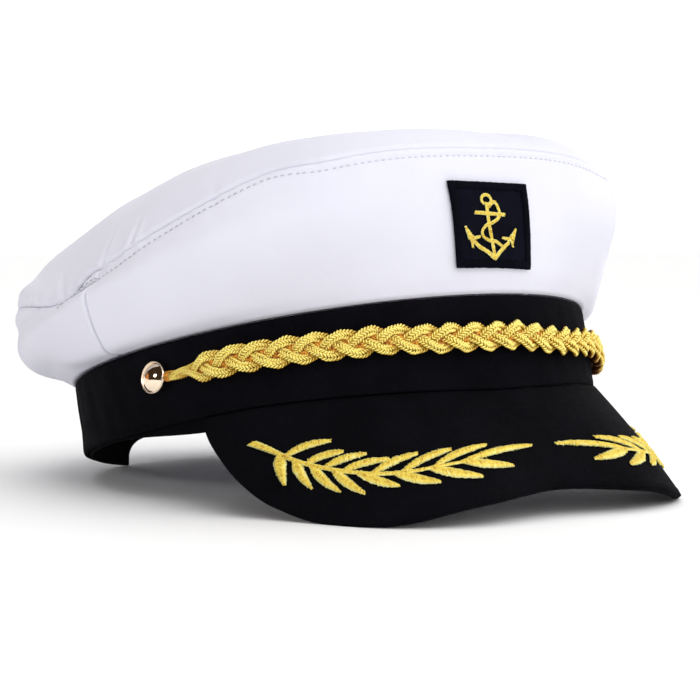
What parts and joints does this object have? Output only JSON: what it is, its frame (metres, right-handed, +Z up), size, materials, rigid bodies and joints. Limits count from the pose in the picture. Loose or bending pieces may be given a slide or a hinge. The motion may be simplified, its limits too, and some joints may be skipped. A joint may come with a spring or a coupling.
{
  "type": "captain hat",
  "caption": "White soft-topped captain hat with a black band, curved peak, plaited gold cord on side buttons, anchor patch and laurel embroidery.",
  "frame": {"origin": "on the ground under the middle of the hat's bounding box, with the hat resting on its peak and the back of its band", "axes": "+Z up; the peak points to -Y; +X is the wearer's left; the band leans back by about 14 degrees, as the hat lies by itself"},
  "size_m": [0.2196, 0.2562, 0.1268],
  "materials": {
    "white_cloth": "matt plain weave polyester",
    "black_cloth": "matt plain weave over a stiff core",
    "black_tape": "matt folded tape",
    "black_twill": "matt cloth over a stiff board",
    "gold_cord": "shiny metallic yarn",
    "gilt_metal": "polished, rose gold",
    "navy_cloth": "matt twill with a thread border",
    "gold_thread": "silky satin stitch"
  },
  "bodies": {
    "root": {"crown_front": "white_cloth", "crown_back": "white_cloth", "crown_top": "white_cloth", "band": "black_cloth", "sweatband": "black_tape", "peak": "black_twill", "braid": "gold_cord", "button_left": "gilt_metal", "button_right": "gilt_metal", "patch": "navy_cloth", "anchor": "gold_thread", "laurel_left": "gold_thread", "laurel_right": "gold_thread"}
  },
  "joints": []
}
